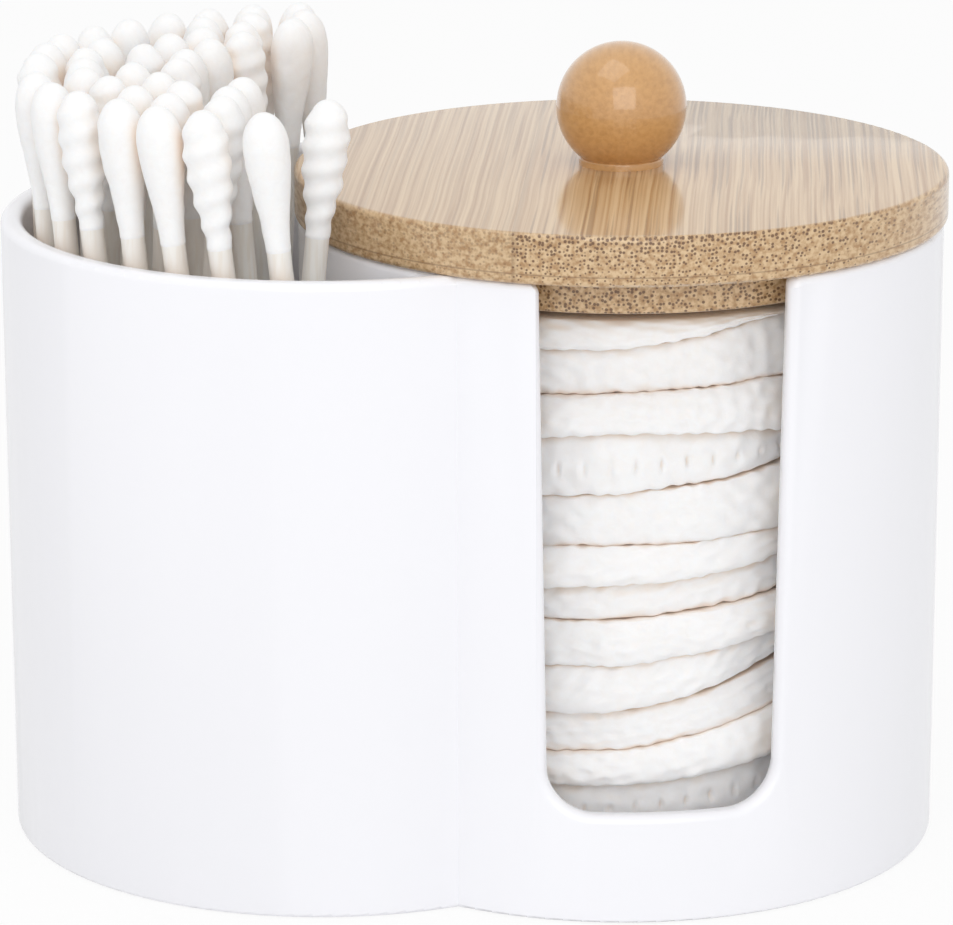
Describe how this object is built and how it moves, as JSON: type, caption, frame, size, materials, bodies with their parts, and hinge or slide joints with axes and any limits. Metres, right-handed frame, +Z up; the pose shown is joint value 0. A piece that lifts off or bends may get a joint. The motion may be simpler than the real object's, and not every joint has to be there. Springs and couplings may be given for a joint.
{
  "type": "cotton pad and swab holder",
  "caption": "White figure-eight holder: a round drum with a front window for cotton pads under a bamboo lid, and an open drum for cotton swabs.",
  "frame": {"origin": "on the standing plane, under the middle of the whole holder", "axes": "+Z up, +X from the swab drum to the pad drum, front faces -Y"},
  "size_m": [0.1028, 0.0708, 0.0877],
  "materials": {
    "white_plastic": "smooth satin gloss moulding",
    "bamboo_board": "clear lacquered bamboo board with end grain on the edge",
    "bamboo_ball": "turned bamboo, clear gloss lacquer",
    "steel_screw": "zinc plated",
    "cotton": "soft white cotton",
    "swab_cotton": "wound white cotton on an off-white paper stick"
  },
  "bodies": {
    "holder": {"holder_body": "white_plastic", "cotton_pad_01": "cotton", "cotton_pad_02": "cotton", "cotton_pad_03": "cotton", "cotton_pad_04": "cotton", "cotton_pad_05": "cotton", "cotton_pad_06": "cotton", "cotton_pad_07": "cotton", "cotton_pad_08": "cotton", "cotton_pad_09": "cotton", "cotton_pad_10": "cotton", "cotton_pad_11": "cotton", "cotton_pad_12": "cotton", "cotton_pad_13": "cotton", "swab_02": "swab_cotton", "swab_03": "swab_cotton", "swab_04": "swab_cotton", "swab_05": "swab_cotton", "swab_06": "swab_cotton", "swab_07": "swab_cotton", "swab_08": "swab_cotton", "swab_09": "swab_cotton", "swab_10": "swab_cotton", "swab_11": "swab_cotton", "swab_12": "swab_cotton", "swab_13": "swab_cotton", "swab_14": "swab_cotton", "swab_15": "swab_cotton", "swab_16": "swab_cotton", "swab_17": "swab_cotton", "swab_18": "swab_cotton", "swab_19": "swab_cotton", "swab_20": "swab_cotton", "swab_21": "swab_cotton", "swab_22": "swab_cotton", "swab_23": "swab_cotton", "swab_24": "swab_cotton", "swab_25": "swab_cotton", "swab_26": "swab_cotton", "swab_27": "swab_cotton", "swab_28": "swab_cotton", "swab_29": "swab_cotton", "swab_30": "swab_cotton", "swab_31": "swab_cotton", "swab_32": "swab_cotton", "swab_33": "swab_cotton", "swab_34": "swab_cotton", "swab_35": "swab_cotton", "swab_36": "swab_cotton", "swab_37": "swab_cotton", "swab_38": "swab_cotton", "swab_39": "swab_cotton", "swab_40": "swab_cotton", "swab_41": "swab_cotton", "swab_42": "swab_cotton"},
    "lid": {"lid_disc": "bamboo_board", "lid_plug": "bamboo_board", "lid_knob": "bamboo_ball", "knob_screw": "steel_screw"},
    "swab": {"swab_01": "swab_cotton"}
  },
  "joints": [
    {"name": "lid_lift", "type": "slide", "parent": "holder", "child": "lid", "axis": [0, 0, 1], "range_m": [0, 0.03]},
    {"name": "swab_draw", "type": "slide", "parent": "holder", "child": "swab", "axis": [0.0996, -0.0029, 0.995], "range_m": [0, 0.07]}
  ]
}
